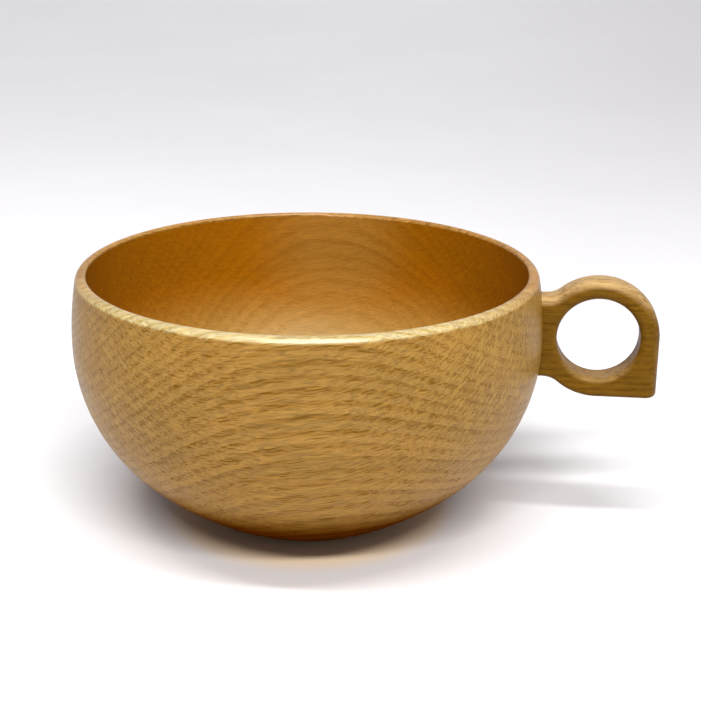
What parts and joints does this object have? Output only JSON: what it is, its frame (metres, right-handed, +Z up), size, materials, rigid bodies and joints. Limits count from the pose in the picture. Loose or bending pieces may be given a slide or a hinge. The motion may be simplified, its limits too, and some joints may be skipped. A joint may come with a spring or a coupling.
{
  "type": "wooden drinking cup",
  "caption": "Round-bellied turned oak drinking cup (kuksa) with a thin rounded rim, a flat foot and a plate handle with a round finger hole glued to one side.",
  "frame": {"origin": "centre of the flat foot, on the surface that the cup stands on", "axes": "+Z up along the bowl's axis of turning, +X from that axis out through the handle, +Y to the left of someone looking along +X"},
  "size_m": [0.1539, 0.124, 0.069],
  "materials": {
    "bowl_oak": "oiled oak, satin, open pores",
    "handle_oak": "oiled oak, satin, open pores, a shade darker than the bowl",
    "dowel_wood": "bare planed hardwood pin"
  },
  "bodies": {
    "root": {"bowl": "bowl_oak", "ring_handle": "handle_oak", "upper_dowel": "dowel_wood", "lower_dowel": "dowel_wood"}
  },
  "joints": []
}
